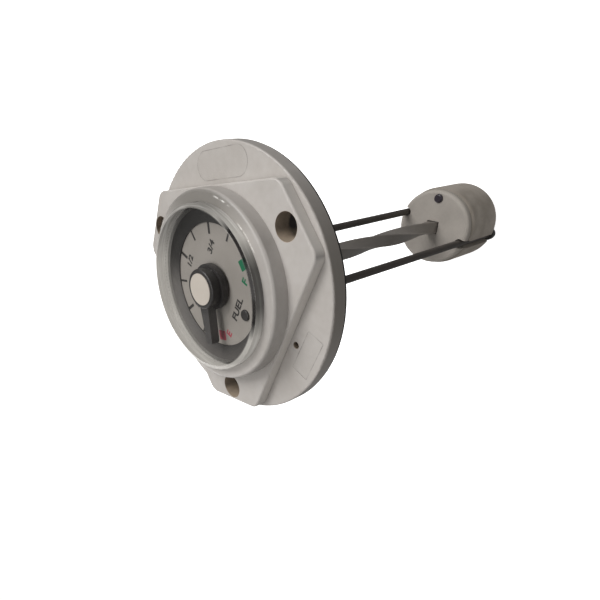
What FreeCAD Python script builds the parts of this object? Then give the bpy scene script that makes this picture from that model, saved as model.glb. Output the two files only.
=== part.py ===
"""Direct-reading float gauge for a fuel tank, 140 mm deep.

A white moulded head closes a round hole in the tank top. Two rods and an end bar
hang below it and guide a float. A twisted square bar runs through a square hole in
the float's lid, so the float turns the bar as it rises. A magnet on the bar's top
turns a second magnet inside the pointer, through the closed floor of the head.

Frame: Z is the axis of the bar and of the dial, up out of the tank. Z = 0 is the
tank face under the gasket. +Y is the top of the dial as it is read.
"""
import FreeCAD, Part
import math
import os

import Sketcher
from FreeCAD import Placement, Rotation, Vector

# Driving dimensions, in millimetres and degrees. Each row: alias, value, meaning.
SIZES = [
    ("gasket_thick", 0.8, "gasket between head and tank"),
    ("gasket_setback", 0.25, "gasket edge inside the flange edge"),
    ("gasket_gap", 0.7, "gasket hole around the boss"),
    ("flange_radius", 41.0, "outer radius of the head"),
    ("flange_thick", 4.3, "flange rim height"),
    ("flange_edge", 0.5, "rounding of the flange's front edge"),
    ("plateau_rise", 3.6, "plateau height over the flange"),
    ("plateau_ledge", 0.2, "collar to each long side of the plateau"),
    ("corner_inset", 0.4552, "flange rim to the plateau's sharp corners"),
    ("plateau_corner", 4.0, "corner radius of the plateau"),
    ("plateau_edge", 0.6, "rounding of the plateau's top edge"),
    ("collar_wall", 3.8, "collar wall round the lens"),
    ("collar_rise", 5.1, "collar height over the plateau"),
    ("collar_edge", 1.0, "rounding of the collar's top edge"),
    ("screw_inset", 4.6, "short side of the plateau to the fixing screw's axis"),
    ("screw_hole", 3.8, "radius of each screw hole"),
    ("locator_radius", 1.0, "radius of the blind locating hole"),
    ("locator_gap", 2.1, "locating hole to the plateau's side"),
    ("locator_depth", 3.2, "depth of the locating hole"),
    ("floor_thick", 2.4, "closed floor between dial and tank"),
    ("floor_level", 9.8, "height of the floor's upper face"),
    ("boss_radius", 16.8, "boss that drops into the tank hole"),
    ("boss_depth", 15.5, "boss length below the tank face"),
    ("boss_edge", 1.0, "chamfer on the boss's lower edge"),
    ("chamber_radius", 9.0, "magnet chamber inside the boss"),
    ("lens_radius", 25.0, "outer radius of the clear lens"),
    ("lens_gap", 0.1, "lens, dial and bezel inside the collar"),
    ("lens_wall", 1.6, "lens thickness"),
    ("lens_shoulder", 2.6, "straight lens wall above the collar"),
    ("lens_dome", 3.4, "dome rise above the lens shoulder"),
    ("lens_round", 1.3, "bevel of the lens shoulder, across"),
    ("lens_bevel", 0.5, "bevel of the lens shoulder, upwards"),
    ("seal_cord", 0.5, "section radius of the lens seal"),
    ("seal_groove", 0.55, "half height of the seal's groove"),
    ("seal_drop", 1.2, "seal below the collar's top face"),
    ("dial_thick", 0.8, "dial plate thickness"),
    ("dial_bore", 2.0, "dial plate's centre hole radius"),
    ("bezel_tall", 1.2, "bezel ring height"),
    ("bezel_bore", 19.0, "visible dial radius"),
    ("bezel_lip", 0.4, "upright lip of the bezel at the dial"),
    ("peg_radius", 0.8, "shank radius of the dial peg"),
    ("peg_head", 1.7, "head radius of the dial peg"),
    ("peg_rise", 0.6, "head height of the dial peg"),
    ("peg_edge", 0.35, "rounding of the peg's head"),
    ("peg_root", 1.4, "peg length in the floor"),
    ("peg_offset", 15.1, "axis to the dial peg"),
    ("spindle_radius", 0.75, "pointer spindle"),
    ("spindle_foot", 1.6, "shoulder radius of the spindle"),
    ("spindle_root", 1.5, "spindle length in the floor"),
    ("spindle_point", 0.4, "height of the spindle's pointed end"),
    ("spindle_gap", 0.05, "running gap round the spindle"),
    ("thrust_gap", 0.1, "axial gap at each thrust face"),
    ("hub_lift", 0.8, "pointer hub above the dial"),
    ("hub_radius", 7.1, "pointer hub at its foot"),
    ("hub_step", 1.8, "height of the hub's wide foot"),
    ("hub_neck", 6.1, "pointer hub above its foot"),
    ("hub_tall", 4.9, "full height of the hub"),
    ("hub_bore", 3.6, "depth of the hub's spindle bore"),
    ("hub_edge", 0.4, "rounding of the hub's top edge"),
    ("arm_reach", 17.4, "axis to the pointer's tip"),
    ("arm_wide", 4.0, "pointer arm width at the hub"),
    ("arm_tip", 2.6, "pointer arm width at the tip"),
    ("arm_round", 0.9, "corner radius of the arm's tip"),
    ("arm_deep", 2.9, "pointer arm depth"),
    ("arm_down", 0.3, "arm's upper face below the hub's"),
    ("cap_radius", 4.85, "pale cap on the pointer"),
    ("cap_thick", 1.0, "cap thickness"),
    ("cap_proud", 0.2, "cap above the hub's rim"),
    ("sweep", 246.0, "pointer travel from E to F"),
    ("pole_inner", 2.4, "pointer magnet's bore, round the hub's stem"),
    ("pole_outer", 5.0, "pointer magnet's outer radius"),
    ("pole_tall", 2.2, "pointer magnet's height"),
    ("plate_thick", 2.2, "bearing plate thickness"),
    ("journal_radius", 2.0, "bar's upper journal"),
    ("journal_gap", 0.05, "running gap round the journal"),
    ("journal_root", 10.2, "journal length inside the magnet cup"),
    ("cup_stem", 3.4, "magnet cup's stem radius"),
    ("cup_radius", 7.4, "magnet cup's outer radius"),
    ("cup_base", 1.0, "cup floor under the magnet"),
    ("cup_gap", 0.8, "cup top below the head's floor"),
    ("magnet_radius", 6.2, "drive magnet radius"),
    ("magnet_thick", 2.7, "drive magnet thickness"),
    ("bar_side", 4.7, "side of the square bar"),
    ("bar_gap", 0.3, "bar to the boss and to the end bar"),
    ("pivot_radius", 0.8, "bar's lower pivot pin"),
    ("pivot_gap", 0.05, "running gap round the pivot"),
    ("pivot_root", 6.0, "pivot length inside the bar"),
    ("pivot_tip", 0.4, "pivot tip above the end bar's underside"),
    ("rod_radius", 1.45, "guide rods"),
    ("rod_offset", 14.0, "axis to each guide rod"),
    ("rod_root", 14.0, "rod length inside the boss"),
    ("tank_depth", 140.0, "tank face to the rods' ends"),
    ("clip_thick", 0.6, "push-on clip thickness"),
    ("clip_radius", 2.5, "push-on clip radius"),
    ("end_thick", 2.4, "end bar thickness"),
    ("end_half", 2.6, "half width of the end bar"),
    ("end_corner", 2.5, "corner radius of the end bar"),
    ("end_hub", 4.2, "radius of the end bar's middle"),
    ("float_radius", 16.6, "float radius"),
    ("float_gap", 0.3, "float to the end bar at rest"),
    ("float_tall", 22.5, "foam body height"),
    ("float_bore", 4.4, "foam body's bore round the bar"),
    ("float_edge", 2.2, "rounding of the foam body's edges"),
    ("lid_thick", 2.8, "float lid thickness"),
    ("lid_inset", 0.7, "lid's edge inside the foam body's"),
    ("lid_edge", 1.6, "rounding of the lid's upper edge"),
    ("lid_hole_gap", 0.35, "square hole round the bar, each side"),
    ("lid_angle", 19.0, "turn of the lid's square hole"),
    ("notch_gap", 0.4, "float notches round the rods"),
    ("notch_over", 3.0, "notch cut run out past the float's edge"),
    ("stop_gap", 0.4, "lid plug to the boss when full"),
    ("plug_along", 12.0, "lid plug from the axis, along X"),
    ("plug_across", 3.6, "lid plug from the axis, along Y"),
    ("plug_radius", 1.1, "plug shank radius"),
    ("plug_head", 1.9, "plug head radius"),
    ("plug_rise", 0.9, "plug head height"),
    ("plug_edge", 0.7, "rounding of the plug's head"),
    ("plug_root", 6.0, "plug length below the lid's upper face"),
]


class Size:
    """A dimension that knows its value now and its formula in the sheet."""

    def __init__(self, value, text):
        self.value, self.text = float(value), text

    def join(self, other, sign, value):
        """Combine two formulas with an arithmetic sign."""
        return Size(value, "(%s %s %s)" % (self.text, sign, other.text))

    def __add__(self, other):
        other = as_size(other)
        return self.join(other, "+", self.value + other.value)

    def __sub__(self, other):
        other = as_size(other)
        return self.join(other, "-", self.value - other.value)

    def __mul__(self, other):
        other = as_size(other)
        return self.join(other, "*", self.value * other.value)

    def __truediv__(self, other):
        other = as_size(other)
        return self.join(other, "/", self.value / other.value)

    def root(self):
        """Square root, for a formula made of squares."""
        return Size(math.sqrt(self.value), "sqrt(%s)" % self.text)

    def __radd__(self, other):
        return as_size(other) + self

    def __rmul__(self, other):
        return as_size(other) * self

    def __neg__(self):
        return as_size(0) - self


def as_size(item):
    """Take a Size as it is and a plain number as a formula of its own."""
    return item if isinstance(item, Size) else Size(item, repr(float(item)))


doc = FreeCAD.newDocument("TankGauge")
sheet = doc.addObject("Spreadsheet::Sheet", "sizes")
for row, (alias, value, meaning) in enumerate(SIZES, start=1):
    sheet.set("A%d" % row, meaning)
    sheet.set("B%d" % row, repr(value))
    sheet.setAlias("B%d" % row, alias)
doc.recompute()


class Sizes:
    """Every driving dimension under its own name."""


S = Sizes()
for alias, value, _ in SIZES:
    setattr(S, alias, Size(sheet.get(alias), "sizes." + alias))

ZERO = as_size(0)

# Levels and radii that follow from the driving dimensions.
flange_top = S.gasket_thick + S.flange_thick
plateau_top = flange_top + S.plateau_rise
collar_top = plateau_top + S.collar_rise
floor_under = S.floor_level - S.floor_thick
well_radius = S.lens_radius + S.lens_gap
collar_radius = well_radius + S.collar_wall
plateau_side = collar_radius + S.plateau_ledge
plateau_reach = S.flange_radius - S.corner_inset
# Distance to the short sides that puts all six corners at the plateau's reach.
plateau_nose = (plateau_side + (3 * (plateau_reach * plateau_reach
                                     - plateau_side * plateau_side)).root()) / 2
screw_circle = plateau_nose - S.screw_inset
dial_top = S.floor_level + S.dial_thick
bezel_top = dial_top + S.bezel_tall
lens_inner = S.lens_radius - S.lens_wall
lens_shoulder = collar_top + S.lens_shoulder
lens_apex = lens_shoulder + S.lens_dome
seal_level = collar_top - S.seal_drop
hub_foot = dial_top + S.hub_lift
hub_top = hub_foot + S.hub_tall
boss_under = -S.boss_depth
plate_top = boss_under + S.plate_thick
cup_top = floor_under - S.cup_gap
cup_under = plate_top + S.thrust_gap
shelf_under = cup_top - S.magnet_thick - S.cup_base
bar_top = boss_under - S.bar_gap
tank_floor = -S.tank_depth
end_under = tank_floor + S.clip_thick
end_top = end_under + S.end_thick
bar_foot = end_top + S.bar_gap
foam_under = end_top + S.float_gap
lid_under = foam_under + S.float_tall
lid_top = lid_under + S.lid_thick
float_travel = boss_under - S.stop_gap - S.plug_rise - lid_top
lid_radius = S.float_radius - S.lid_inset
notch_radius = S.rod_radius + S.notch_gap


def bind(item, path, size):
    """Tie one property of an object to a formula of the sheet."""
    item.setExpression(path, as_size(size).text)


def plane_of(body, role):
    """Origin plane or axis of a body, by its role."""
    return next(f for f in body.Origin.OriginFeatures if f.Role == role)


def new_body(name):
    """Start one solid piece; its label names its file."""
    body = doc.addObject("PartDesign::Body", name)
    body.Label = name
    return body


def new_sketch(body, name, role="XY_Plane", level=ZERO, turn=None):
    """Sketch on an origin plane of its body, raised to a level and turned about Z."""
    sketch = body.newObject("Sketcher::SketchObject", name)
    sketch.AttachmentSupport = [(plane_of(body, role), "")]
    sketch.MapMode = "FlatFace"
    along = "z" if role == "XY_Plane" else "y"
    bind(sketch, "AttachmentOffset.Base." + along, level)
    if turn is not None:
        bind(sketch, "AttachmentOffset.Rotation.Angle", turn)
    return sketch


def hold(sketch, kind, targets, size):
    """Add one dimension to a sketch, tied to its formula."""
    size = as_size(size)
    value = math.radians(size.value) if kind == "Angle" else size.value
    index = sketch.addConstraint(Sketcher.Constraint(kind, *targets, value))
    bind(sketch, "Constraints[%d]" % index, size)


def circles(body, name, rings, level=ZERO):
    """Sketch of circles; each row is centre x, centre y, radius."""
    sketch = new_sketch(body, name, level=level)
    for x, y, radius in rings:
        x, y, radius = as_size(x), as_size(y), as_size(radius)
        edge = sketch.addGeometry(Part.Circle(
            Vector(x.value, y.value, 0), Vector(0, 0, 1), radius.value))
        hold(sketch, "Radius", (edge,), radius)
        hold(sketch, "DistanceX", (-1, 1, edge, 3), x)
        hold(sketch, "DistanceY", (-1, 1, edge, 3), y)
    return sketch


def outline(body, name, corners, role="XY_Plane", level=ZERO, arcs=(), turn=None):
    """Closed sketch through corners; arcs names the sides that bow.

    A side in arcs is a circular arc whose centre lies on the sketch's vertical axis.
    """
    sketch = new_sketch(body, name, role, level, turn)
    points = [(as_size(x), as_size(y)) for x, y in corners]
    count = len(points)
    starts, ends = [], []
    for i, (x, y) in enumerate(points):
        nx, ny = points[(i + 1) % count]
        if i in arcs:
            # Centre height from the two radii about the axis being equal.
            rise = ((nx.value ** 2 + ny.value ** 2 - x.value ** 2 - y.value ** 2)
                    / (2 * (ny.value - y.value)))
            radius = math.hypot(x.value, y.value - rise)
            turn = sorted((math.atan2(y.value - rise, x.value),
                           math.atan2(ny.value - rise, nx.value)))
            side = sketch.addGeometry(Part.ArcOfCircle(
                Part.Circle(Vector(0, rise, 0), Vector(0, 0, 1), radius), *turn))
            upward = math.atan2(y.value - rise, x.value) == turn[0]
            starts.append((side, 1 if upward else 2))
            ends.append((side, 2 if upward else 1))
            sketch.addConstraint(Sketcher.Constraint("PointOnObject", side, 3, -2))
        else:
            side = sketch.addGeometry(Part.LineSegment(
                Vector(x.value, y.value, 0), Vector(nx.value, ny.value, 0)))
            starts.append((side, 1))
            ends.append((side, 2))
    for i in range(count):
        sketch.addConstraint(Sketcher.Constraint(
            "Coincident", *ends[i], *starts[(i + 1) % count]))
    for (side, end), (x, y) in zip(starts, points):
        hold(sketch, "DistanceX", (-1, 1, side, end), x)
        hold(sketch, "DistanceY", (-1, 1, side, end), y)
    return sketch


def pad(body, name, sketch, length):
    """Raise a sketch upwards into the solid."""
    feature = body.newObject("PartDesign::Pad", name)
    feature.Profile = sketch
    bind(feature, "Length", length)
    doc.recompute()
    return feature


def pocket(body, name, sketch, depth, up=False, turns=1):
    """Cut a sketch down (or up) and repeat it about Z; the cut must remove material."""
    doc.recompute()
    before = body.Shape.Volume
    feature = body.newObject("PartDesign::Pocket", name)
    feature.Profile = sketch
    feature.Reversed = up
    bind(feature, "Length", depth)
    doc.recompute()
    if turns > 1:
        ring = body.newObject("PartDesign::PolarPattern", name + "_ring")
        ring.Originals = [feature]
        ring.Axis = (sketch, ["N_Axis"])
        ring.Angle = 360
        ring.Occurrences = turns
        body.Tip = ring
        doc.recompute()
        feature = ring
    if not body.Shape.Volume < before:
        raise RuntimeError("%s in %s cut nothing" % (name, body.Label))
    return feature


def revolve(body, name, sketch):
    """Turn a half section about the Z axis."""
    feature = body.newObject("PartDesign::Revolution", name)
    feature.Profile = sketch
    feature.ReferenceAxis = (sketch, ["V_Axis"])
    feature.Angle = 360
    doc.recompute()
    return feature


def dress(body, name, kind, size, wanted):
    """Fillet or chamfer the edges that a test picks by their geometry."""
    doc.recompute()
    base = body.Tip
    picked = ["Edge%d" % (i + 1) for i, edge in enumerate(base.Shape.Edges)
              if wanted(edge)]
    if not picked:
        raise RuntimeError("%s in %s found no edge" % (name, body.Label))
    feature = body.newObject("PartDesign::" + kind, name)
    feature.Base = (base, picked)
    bind(feature, "Radius" if kind == "Fillet" else "Size", size)
    doc.recompute()
    return feature


NEAR = 1e-4


def ring_at(radius, level):
    """Test for a full circular edge about Z, of a radius and at a level."""
    radius, level = as_size(radius).value, as_size(level).value

    def wanted(edge):
        curve = edge.Curve
        return (isinstance(curve, Part.Circle) and abs(curve.Radius - radius) < NEAR
                and abs(curve.Center.z - level) < NEAR
                and math.hypot(curve.Center.x, curve.Center.y) < NEAR)
    return wanted


def cylinder(name, radius, height, level, x=ZERO, y=ZERO):
    """Upright cylinder whose foot is at a level."""
    item = doc.addObject("Part::Cylinder", name)
    bind(item, "Radius", radius)
    bind(item, "Height", height)
    for axis, size in (("x", x), ("y", y), ("z", level)):
        bind(item, "Placement.Base." + axis, size)
    return item


def combine(kind, name, base, tool):
    """Boolean of two Part objects."""
    item = doc.addObject("Part::" + kind, name)
    item.Base, item.Tool = base, tool
    return item


# Moulded head: flange, three-cornered plateau, lens collar and lower boss.
head = new_body("head_moulding")
pad(head, "flange", circles(head, "flange_edge_line", [(0, 0, S.flange_radius)],
                            S.gasket_thick), S.flange_thick)
pad(head, "boss", circles(head, "boss_line", [(0, 0, S.boss_radius)], boss_under),
    S.boss_depth + S.gasket_thick)
dress(head, "boss_chamfer", "Chamfer", S.boss_edge, ring_at(S.boss_radius, boss_under))


def hexagon(body, name, long_side, short_side, level):
    """Six sides about the axis, long and short in turn, short sides at the screws."""
    sides = [(math.radians(60 * i - 90), short_side if i % 2 else long_side)
             for i in range(6)]
    corners = []
    for (a, near), (b, far) in zip(sides, sides[1:] + sides[:1]):
        spread = math.sin(b - a)
        corners.append((near * (math.sin(b) / spread) - far * (math.sin(a) / spread),
                        far * (math.cos(a) / spread) - near * (math.cos(b) / spread)))
    return outline(body, name, corners, level=level)


plateau = hexagon(head, "plateau_line", plateau_side, plateau_nose, flange_top)
pad(head, "plateau", plateau, S.plateau_rise)


def upright_corner(edge):
    """Test for the six upright edges of the plateau."""
    first, last = edge.Vertexes[0].Point, edge.Vertexes[-1].Point
    upright = abs(first.x - last.x) < NEAR and abs(first.y - last.y) < NEAR
    low, high = sorted((first.z, last.z))
    return (upright and abs(low - flange_top.value) < NEAR
            and abs(high - plateau_top.value) < NEAR)


dress(head, "plateau_corners", "Fillet", S.plateau_corner, upright_corner)


def plateau_rim(edge):
    """Test for the plateau's top outline."""
    return all(abs(v.Point.z - plateau_top.value) < NEAR for v in edge.Vertexes)


dress(head, "flange_round", "Fillet", S.flange_edge,
      ring_at(S.flange_radius, flange_top))
dress(head, "plateau_round", "Fillet", S.plateau_edge, plateau_rim)
pad(head, "collar", circles(head, "collar_line", [(0, 0, collar_radius)], plateau_top),
    S.collar_rise)
dress(head, "collar_round", "Fillet", S.collar_edge,
      ring_at(collar_radius, collar_top))
# Well for dial, bezel and lens, open to the front, and the seal's groove in its wall.
pocket(head, "well", circles(head, "well_line", [(0, 0, well_radius)], collar_top),
       collar_top - S.floor_level)
groove_wall = S.lens_radius + 2 * S.seal_cord
groove = outline(head, "groove_line", [
    (S.lens_radius, seal_level - S.seal_groove), (groove_wall, seal_level - S.seal_groove),
    (groove_wall, seal_level + S.seal_groove), (S.lens_radius, seal_level + S.seal_groove)],
    "XZ_Plane")
cut = head.newObject("PartDesign::Groove", "seal_groove")
cut.Profile = groove
cut.ReferenceAxis = (groove, ["V_Axis"])
cut.Angle = 360
doc.recompute()
pocket(head, "chamber", circles(head, "chamber_line", [(0, 0, S.chamber_radius)],
                                boss_under), floor_under - boss_under, up=True)
pocket(head, "rod_sockets", circles(
    head, "rod_socket_line", [(0, S.rod_offset, S.rod_radius)], boss_under),
    S.rod_root, up=True, turns=2)
pocket(head, "screw_holes", circles(
    head, "screw_hole_line", [(0, screw_circle, S.screw_hole)], plateau_top),
    S.plateau_rise + S.flange_thick, turns=3)
pocket(head, "locator", circles(
    head, "locator_line", [(0, -(plateau_side + S.locator_gap), S.locator_radius)],
    flange_top), S.locator_depth)
pocket(head, "spindle_socket", circles(
    head, "spindle_socket_line", [(0, 0, S.spindle_radius)], S.floor_level),
    S.spindle_root)
pocket(head, "peg_socket", circles(
    head, "peg_socket_line", [(0, -S.peg_offset, S.peg_radius)], S.floor_level),
    S.peg_root)

# Gasket under the flange, with the boss and the screws through it.
gasket = new_body("gasket")
pad(gasket, "ring", circles(gasket, "ring_line", [
    (0, 0, S.flange_radius - S.gasket_setback),
    (0, 0, S.boss_radius + S.gasket_gap)]), S.gasket_thick)
pocket(gasket, "screw_holes", circles(
    gasket, "screw_hole_line", [(0, screw_circle, S.screw_hole)], S.gasket_thick),
    S.gasket_thick, turns=3)

# Clear lens: a domed cap whose wall stands on the bezel.
lens = new_body("lens")
rim = S.lens_radius - S.lens_round
revolve(lens, "cap", outline(lens, "cap_line", [
    (S.lens_radius, bezel_top), (S.lens_radius, lens_shoulder),
    (rim, lens_shoulder + S.lens_bevel), (ZERO, lens_apex),
    (ZERO, lens_apex - S.lens_wall),
    (rim - S.lens_wall, lens_shoulder + S.lens_bevel - S.lens_wall),
    (lens_inner, lens_shoulder - S.lens_wall), (lens_inner, bezel_top)],
    "XZ_Plane", arcs=(2, 4)))

# Round cord that seals the lens in the collar.
seal = doc.addObject("Part::Torus", "lens_seal")
bind(seal, "Radius1", S.lens_radius + S.seal_cord)
bind(seal, "Radius2", S.seal_cord)
bind(seal, "Placement.Base.z", seal_level)

# Dark funnel round the dial; it clamps the dial plate down.
bezel = new_body("bezel_ring")
bezel_lip = lens_inner - S.lens_gap
revolve(bezel, "funnel", outline(bezel, "funnel_line", [
    (S.bezel_bore, dial_top), (S.lens_radius, dial_top), (S.lens_radius, bezel_top),
    (bezel_lip, bezel_top), (S.bezel_bore, dial_top + S.bezel_lip)], "XZ_Plane"))

# Dial plate with holes for the spindle's shoulder and the peg.
dial = new_body("dial_plate")
pad(dial, "disc", circles(dial, "disc_line", [
    (0, 0, S.lens_radius), (0, 0, S.dial_bore),
    (0, -S.peg_offset, S.peg_radius)], S.floor_level), S.dial_thick)

# Peg that holds the dial plate from turning.
peg = new_body("dial_peg")
pad(peg, "shank", circles(peg, "shank_line", [(0, -S.peg_offset, S.peg_radius)],
                          S.floor_level - S.peg_root), S.peg_root + S.dial_thick)
pad(peg, "head", circles(peg, "head_line", [(0, -S.peg_offset, S.peg_head)], dial_top),
    S.peg_rise)


def top_rim(level):
    """Test for the circular edges at a level."""
    level = as_size(level).value

    def wanted(edge):
        return (isinstance(edge.Curve, Part.Circle)
                and abs(edge.Curve.Center.z - level) < NEAR)
    return wanted


dress(peg, "head_round", "Fillet", S.peg_edge, top_rim(dial_top + S.peg_rise))

# Steel spindle of the pointer, with a shoulder that stands on the floor.
spindle = new_body("pointer_spindle")
spindle_shoulder = hub_foot - S.thrust_gap
spindle_top = hub_foot + S.hub_bore - S.thrust_gap
revolve(spindle, "pin", outline(spindle, "pin_line", [
    (ZERO, S.floor_level - S.spindle_root),
    (S.spindle_radius, S.floor_level - S.spindle_root),
    (S.spindle_radius, S.floor_level), (S.spindle_foot, S.floor_level),
    (S.spindle_foot, spindle_shoulder), (S.spindle_radius, spindle_shoulder),
    (S.spindle_radius, spindle_top - S.spindle_point), (ZERO, spindle_top)],
    "XZ_Plane"))

# Pointer: a stepped hub with one flat arm, drawn along +X and turned to E.
pointer = new_body("pointer")
bore = S.spindle_radius + S.spindle_gap
cap_seat = hub_top + S.cap_proud - S.cap_thick
magnet_roof = hub_foot + S.pole_tall
revolve(pointer, "hub", outline(pointer, "hub_line", [
    (bore, hub_foot), (bore, hub_foot + S.hub_bore), (ZERO, hub_foot + S.hub_bore),
    (ZERO, cap_seat), (S.cap_radius, cap_seat), (S.cap_radius, hub_top),
    (S.hub_neck, hub_top), (S.hub_neck, hub_foot + S.hub_step),
    (S.hub_radius, hub_foot + S.hub_step), (S.hub_radius, hub_foot),
    (S.pole_outer, hub_foot), (S.pole_outer, magnet_roof),
    (S.pole_inner, magnet_roof), (S.pole_inner, hub_foot)], "XZ_Plane"))
dress(pointer, "hub_round", "Fillet", S.hub_edge, ring_at(S.hub_neck, hub_top))
arm_root = (S.cap_radius + S.hub_neck) * 0.5
pad(pointer, "arm", outline(pointer, "arm_line", [
    (arm_root, -S.arm_wide * 0.5), (S.arm_reach, -S.arm_tip * 0.5),
    (S.arm_reach, S.arm_tip * 0.5), (arm_root, S.arm_wide * 0.5)],
    level=hub_top - S.arm_down - S.arm_deep), S.arm_deep)


def arm_end(edge):
    """Test for the two upright edges of the arm's tip."""
    first, last = edge.Vertexes[0].Point, edge.Vertexes[-1].Point
    return (abs(first.x - S.arm_reach.value) < NEAR and abs(last.x - first.x) < NEAR
            and abs(first.z - last.z) > NEAR)


dress(pointer, "arm_tip_round", "Fillet", S.arm_round, arm_end)

cap = cylinder("pointer_cap", S.cap_radius, S.cap_thick, cap_seat)

pole = new_body("pointer_magnet")
pad(pole, "ring", circles(pole, "ring_line", [
    (0, 0, S.pole_outer), (0, 0, S.pole_inner)], hub_foot), S.pole_tall)

# Bearing plate in the chamber's mouth; the bar's journal turns in it.
plate = new_body("bearing_plate")
pad(plate, "disc", circles(plate, "disc_line", [
    (0, 0, S.chamber_radius), (0, 0, S.journal_radius + S.journal_gap)], boss_under),
    S.plate_thick)

# Cup that carries the drive magnet on the bar's journal.
cup = new_body("magnet_cup")
journal_top = cup_under + S.journal_root
revolve(cup, "cup", outline(cup, "cup_line", [
    (S.journal_radius, cup_under), (S.cup_stem, cup_under), (S.cup_stem, shelf_under),
    (S.cup_radius, shelf_under), (S.cup_radius, cup_top), (S.magnet_radius, cup_top),
    (S.magnet_radius, cup_top - S.magnet_thick), (ZERO, cup_top - S.magnet_thick),
    (ZERO, journal_top), (S.journal_radius, journal_top)], "XZ_Plane"))
drive = cylinder("drive_magnet", S.magnet_radius, S.magnet_thick,
                 cup_top - S.magnet_thick)

# Twisted bar: a square section swept down the axis while it turns at a steady rate.
twist_rate = S.sweep.value / float_travel.value
guide_level = lid_top.value - S.lid_thick.value / 2
half = S.bar_side.value / 2


def section_turn(level):
    """Turn of the bar's square section at a level, in degrees."""
    return S.lid_angle.value + twist_rate * (level - guide_level)


foot, crown = bar_foot.value, bar_top.value
square = Part.makePolygon([
    Placement(Vector(0, 0, foot), Rotation(Vector(0, 0, 1), section_turn(foot)))
    .multVec(Vector(x * half, y * half, 0))
    for x, y in ((1, 1), (-1, 1), (-1, -1), (1, -1), (1, 1))])
guide = Part.makeHelix(360 / twist_rate, crown - foot, S.bar_side.value)
guide.translate(Vector(0, 0, foot))
sweep = Part.BRepOffsetAPI.MakePipeShell(Part.Wire(
    Part.makeLine(Vector(0, 0, foot), Vector(0, 0, crown))))
sweep.setAuxiliarySpine(Part.Wire(guide.Edges), True, 0)
sweep.add(square, False, False)
sweep.build()
sweep.makeSolid()
twist = doc.addObject("Part::Feature", "twisted_prism")
twist.Shape = sweep.shape()
shank = cylinder("bar_journal", S.journal_radius, journal_top - bar_top, bar_top)
socket = cylinder("pivot_socket", S.pivot_radius, S.pivot_root, bar_foot)
bar = combine("Cut", "twisted_bar", combine("Fuse", "bar_solid", twist, shank), socket)

pivot = cylinder("bar_pivot", S.pivot_radius,
                 bar_foot + S.pivot_root - end_under - S.pivot_tip,
                 end_under + S.pivot_tip)

# Guide rods, held in the boss and joined by the end bar.
rod_near = cylinder("guide_rod_lower", S.rod_radius,
                    boss_under + S.rod_root - tank_floor, tank_floor, y=-S.rod_offset)
rod_far = cylinder("guide_rod_upper", S.rod_radius,
                   boss_under + S.rod_root - tank_floor, tank_floor, y=S.rod_offset)

end = new_body("end_bar")
end_reach = S.rod_offset + S.end_half
pad(end, "strap", outline(end, "strap_line", [
    (-S.end_half, -end_reach), (S.end_half, -end_reach),
    (S.end_half, end_reach), (-S.end_half, end_reach)], level=end_under), S.end_thick)


def strap_corner(edge):
    """Test for the strap's upright corners."""
    first, last = edge.Vertexes[0].Point, edge.Vertexes[-1].Point
    return abs(first.z - last.z) > NEAR and abs(abs(first.y) - end_reach.value) < NEAR


dress(end, "strap_round", "Fillet", S.end_corner, strap_corner)
pad(end, "middle", circles(end, "middle_line", [(0, 0, S.end_hub)], end_under),
    S.end_thick)
pocket(end, "holes", circles(end, "hole_line", [
    (0, 0, S.pivot_radius + S.pivot_gap), (0, S.rod_offset, S.rod_radius),
    (0, -S.rod_offset, S.rod_radius)], end_top), S.end_thick)

# The two push-on clips that hold the end bar on the rods.
clips = new_body("rod_clips")
pad(clips, "washers", circles(clips, "washer_line", [
    (0, y, r) for y in (S.rod_offset, -S.rod_offset)
    for r in (S.clip_radius, S.rod_radius)], tank_floor), S.clip_thick)

# Float: a foam body and a stiff lid, both notched for the rods.
notch_mouth = S.float_radius + S.notch_over


def notch_line(body, name, level):
    """Slot that opens outwards, round at the rod; drawn at +Y."""
    sketch = new_sketch(body, name, level=level)
    wide, deep, out = notch_radius.value, S.rod_offset.value, notch_mouth.value
    sketch.addGeometry([
        Part.ArcOfCircle(Part.Circle(Vector(0, deep, 0), Vector(0, 0, 1), wide),
                         math.pi, 2 * math.pi),
        Part.LineSegment(Vector(wide, deep, 0), Vector(wide, out, 0)),
        Part.LineSegment(Vector(wide, out, 0), Vector(-wide, out, 0)),
        Part.LineSegment(Vector(-wide, out, 0), Vector(-wide, deep, 0))])
    for a, b, c, d in ((0, 2, 1, 1), (1, 2, 2, 1), (2, 2, 3, 1), (3, 2, 0, 1)):
        sketch.addConstraint(Sketcher.Constraint("Coincident", a, b, c, d))
    sketch.addConstraint(Sketcher.Constraint("PointOnObject", 0, 3, -2))
    for side in (1, 3):
        sketch.addConstraint(Sketcher.Constraint("Vertical", side))
    sketch.addConstraint(Sketcher.Constraint("Horizontal", 2))
    for end in (1, 2):
        sketch.addConstraint(Sketcher.Constraint("Horizontal", 0, end, 0, 3))
    hold(sketch, "Radius", (0,), notch_radius)
    hold(sketch, "DistanceY", (-1, 1, 0, 3), S.rod_offset)
    hold(sketch, "DistanceY", (-1, 1, 1, 2), notch_mouth)
    return sketch


foam = new_body("float_body")
pad(foam, "drum", circles(foam, "drum_line", [
    (0, 0, S.float_radius), (0, 0, S.float_bore)], foam_under), S.float_tall)
dress(foam, "upper_round", "Fillet", S.float_edge, ring_at(S.float_radius, lid_under))
dress(foam, "lower_round", "Fillet", S.float_edge, ring_at(S.float_radius, foam_under))
pocket(foam, "notches", notch_line(foam, "notch_line", lid_under), S.float_tall,
       turns=2)
pocket(foam, "plug_hole", circles(foam, "plug_line", [
    (S.plug_along, S.plug_across, S.plug_radius)], lid_under), S.plug_root - S.lid_thick)

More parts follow.
